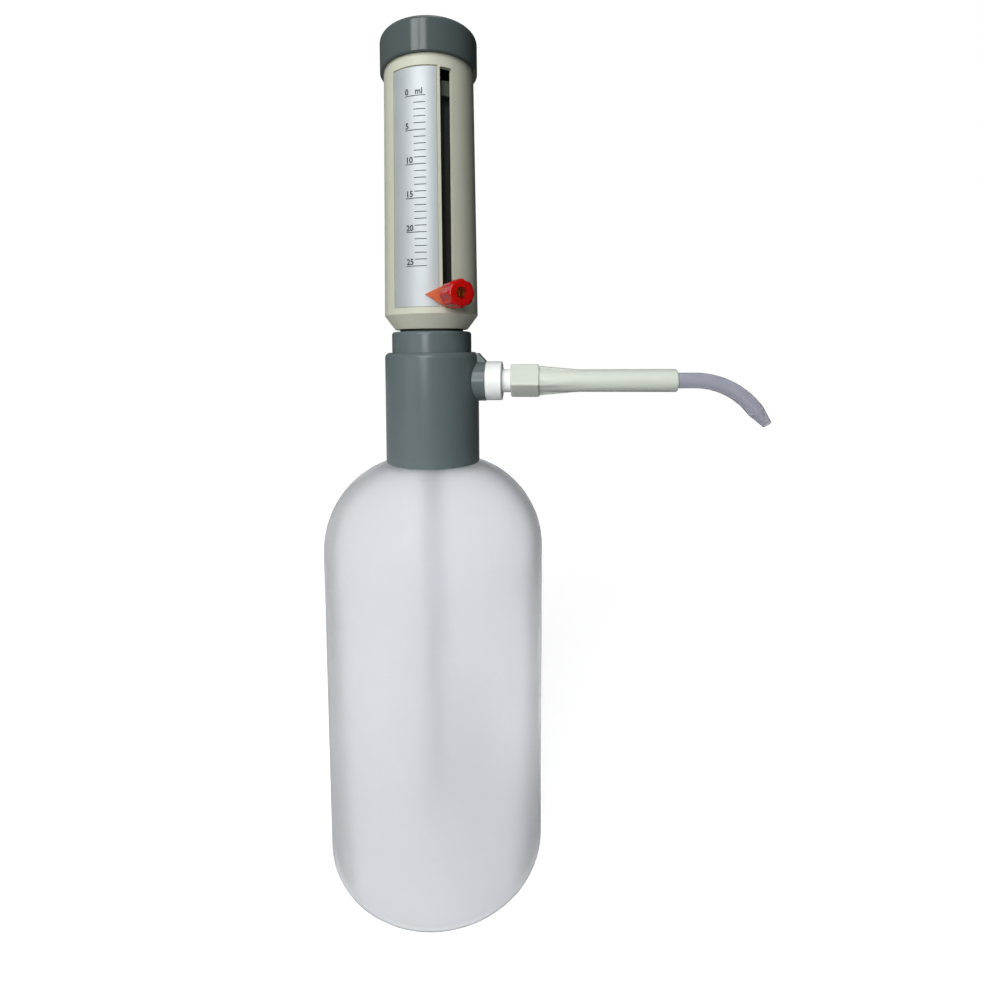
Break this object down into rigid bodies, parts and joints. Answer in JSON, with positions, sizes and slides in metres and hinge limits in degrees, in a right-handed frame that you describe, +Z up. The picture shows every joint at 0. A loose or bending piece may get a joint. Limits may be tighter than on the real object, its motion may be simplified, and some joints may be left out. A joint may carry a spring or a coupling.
{
  "type": "bottle top dispenser",
  "caption": "Bench dispenser on a plastic reservoir: a lifting sleeve draws liquid into a glass cylinder and pushes it out through a bent side nozzle, with a sliding volume stop.",
  "frame": {"origin": "centre of the reservoir's foot, on the surface that it stands on", "axes": "+Z up along the reservoir and the piston, +X along the discharge arm, -Y towards the scale"},
  "size_m": [0.1883, 0.096, 0.3526],
  "materials": {
    "reservoir_plastic": "translucent satin polyethylene",
    "housing_plastic": "glossy moulded polypropylene, dark blue-grey",
    "cap_plastic": "glossy moulded polypropylene, dark grey",
    "seal_rubber": "soft black elastomer",
    "valve_plastic": "white fluoropolymer, satin",
    "tube_plastic": "clear fluoropolymer tube",
    "cylinder_glass": "polished borosilicate glass",
    "guide_plastic": "black moulded plastic",
    "collar_plastic": "grey moulded plastic",
    "spring_steel": "drawn stainless wire",
    "sleeve_plastic": "beige-grey moulded plastic, satin",
    "scale_foil": "silver-white foil",
    "rod_steel": "turned stainless steel",
    "pointer_plastic": "orange-red transparent plastic",
    "knob_brass": "turned brass",
    "knob_plastic": "glossy red moulded plastic",
    "ball_glass": "ground glass",
    "nut_plastic": "white moulded plastic",
    "nozzle_plastic": "pale grey-green moulded plastic, satin",
    "drop_tube_plastic": "translucent grey fluoropolymer"
  },
  "bodies": {
    "reservoir": {"bottle": "reservoir_plastic"},
    "head": {"valve_housing": "housing_plastic", "neck_gasket": "seal_rubber", "valve_block": "valve_plastic", "intake_seat": "valve_plastic", "intake_cage": "valve_plastic", "intake_connector": "valve_plastic", "intake_tube": "tube_plastic", "cylinder_oring": "seal_rubber", "glass_cylinder": "cylinder_glass", "cylinder_top_seal": "seal_rubber", "guide_tube": "guide_plastic", "stop_collar": "collar_plastic", "discharge_seat": "valve_plastic", "discharge_liner": "valve_plastic", "discharge_spring": "spring_steel", "nozzle_seal": "seal_rubber"},
    "plunger": {"sleeve": "sleeve_plastic", "scale_label": "scale_foil", "top_cap": "cap_plastic", "piston_rod": "rod_steel", "rod_locknut": "rod_steel", "piston_core": "valve_plastic", "piston_seal_lower": "valve_plastic", "piston_seal_upper": "valve_plastic"},
    "stop": {"pointer": "pointer_plastic", "clamp_stud": "knob_brass", "slide_nut": "knob_brass"},
    "knob": {"stop_knob": "knob_plastic", "knob_insert": "knob_brass"},
    "intake_ball": {"intake_ball": "ball_glass"},
    "discharge_ball": {"discharge_ball": "ball_glass"},
    "nozzle": {"outlet_connector": "nut_plastic", "nozzle_body": "nozzle_plastic", "discharge_tube": "drop_tube_plastic"},
    "union_nut": {"union_nut": "nut_plastic"}
  },
  "joints": [
    {"name": "head_lift", "type": "slide", "parent": "reservoir", "child": "head", "axis": [0, 0, 1], "range_m": [0, 0.2]},
    {"name": "plunger_lift", "type": "slide", "parent": "head", "child": "plunger", "axis": [0, 0, 1], "range_m": [0, 0.08]},
    {"name": "stop_slide", "type": "slide", "parent": "plunger", "child": "stop", "axis": [0, 0, 1], "range_m": [0, 0.08]},
    {"name": "stop_knob_turn", "type": "hinge", "parent": "stop", "child": "knob", "pos_m": [0.01255, -0.01939, 0.2397], "axis": [0.5432, -0.8396, 0], "range_deg": [0, 360]},
    {"name": "intake_ball_lift", "type": "slide", "parent": "head", "child": "intake_ball", "axis": [0, 0, 1], "range_m": [0, 0.0018]},
    {"name": "discharge_ball_lift", "type": "slide", "parent": "head", "child": "discharge_ball", "axis": [1, 0, 0], "range_m": [0, 0.0015], "stiffness_N_per_m": 60, "springref_m": -0.002, "deforming": ["discharge_spring"]},
    {"name": "nozzle_swivel", "type": "hinge", "parent": "head", "child": "nozzle", "pos_m": [0.0355, 0, 0.20405], "axis": [1, 0, 0], "range_deg": [-180, 180]},
    {"name": "union_nut_turn", "type": "hinge", "parent": "head", "child": "union_nut", "pos_m": [0.028, 0, 0.20405], "axis": [1, 0, 0], "range_deg": [0, 720]}
  ]
}
